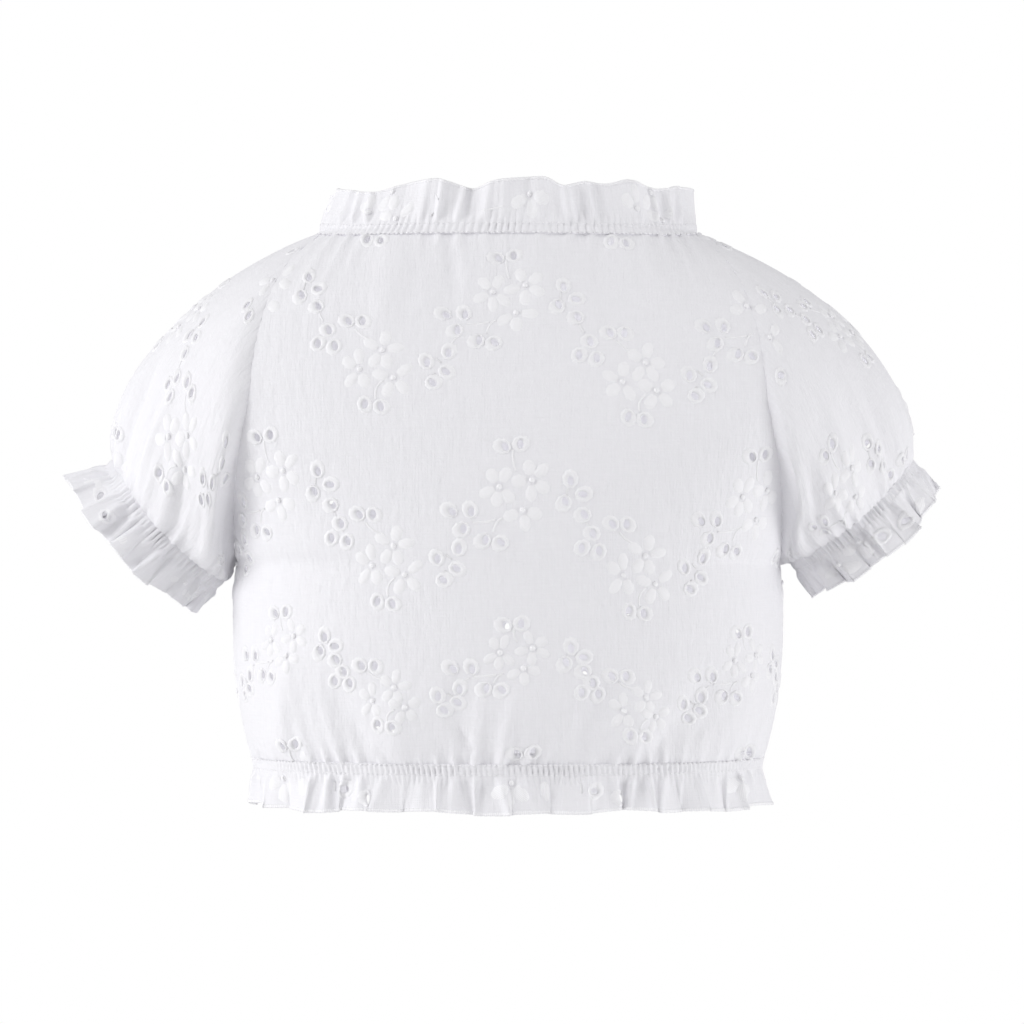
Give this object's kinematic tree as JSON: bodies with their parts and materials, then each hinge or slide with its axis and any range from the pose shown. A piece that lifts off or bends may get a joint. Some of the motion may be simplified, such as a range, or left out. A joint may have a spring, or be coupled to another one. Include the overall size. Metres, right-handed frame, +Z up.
{
  "type": "ruffled top",
  "caption": "Cropped cotton top with short puff sleeves and gathered, ruffled neck, cuffs and hem, in the hollow form it has when worn.",
  "frame": {"origin": "the middle of the neck opening, level with the neck elastic at the back, where the garment sits on the wearer's shoulders", "axes": "+X to the wearer's left sleeve, +Y out of the garment's back, which is the side in the picture, +Z up"},
  "size_m": [0.4649, 0.2256, 0.3301],
  "materials": {
    "eyelet_cotton": "white cotton lawn with cut and stitched eyelets and satin-stitched flowers",
    "gathered_cotton": "the same white cotton gathered on elastic, with a stitched edge"
  },
  "bodies": {
    "root": {"back_panel": "eyelet_cotton", "front_panel": "eyelet_cotton", "sleeve_left_back": "eyelet_cotton", "sleeve_left_front": "eyelet_cotton", "sleeve_right_back": "eyelet_cotton", "sleeve_right_front": "eyelet_cotton", "neck_channel": "gathered_cotton", "neck_ruffle": "gathered_cotton", "hem_channel": "gathered_cotton", "hem_ruffle": "gathered_cotton", "cuff_channel_left": "gathered_cotton", "cuff_channel_right": "gathered_cotton", "cuff_ruffle_left": "gathered_cotton", "cuff_ruffle_right": "gathered_cotton"}
  },
  "joints": []
}
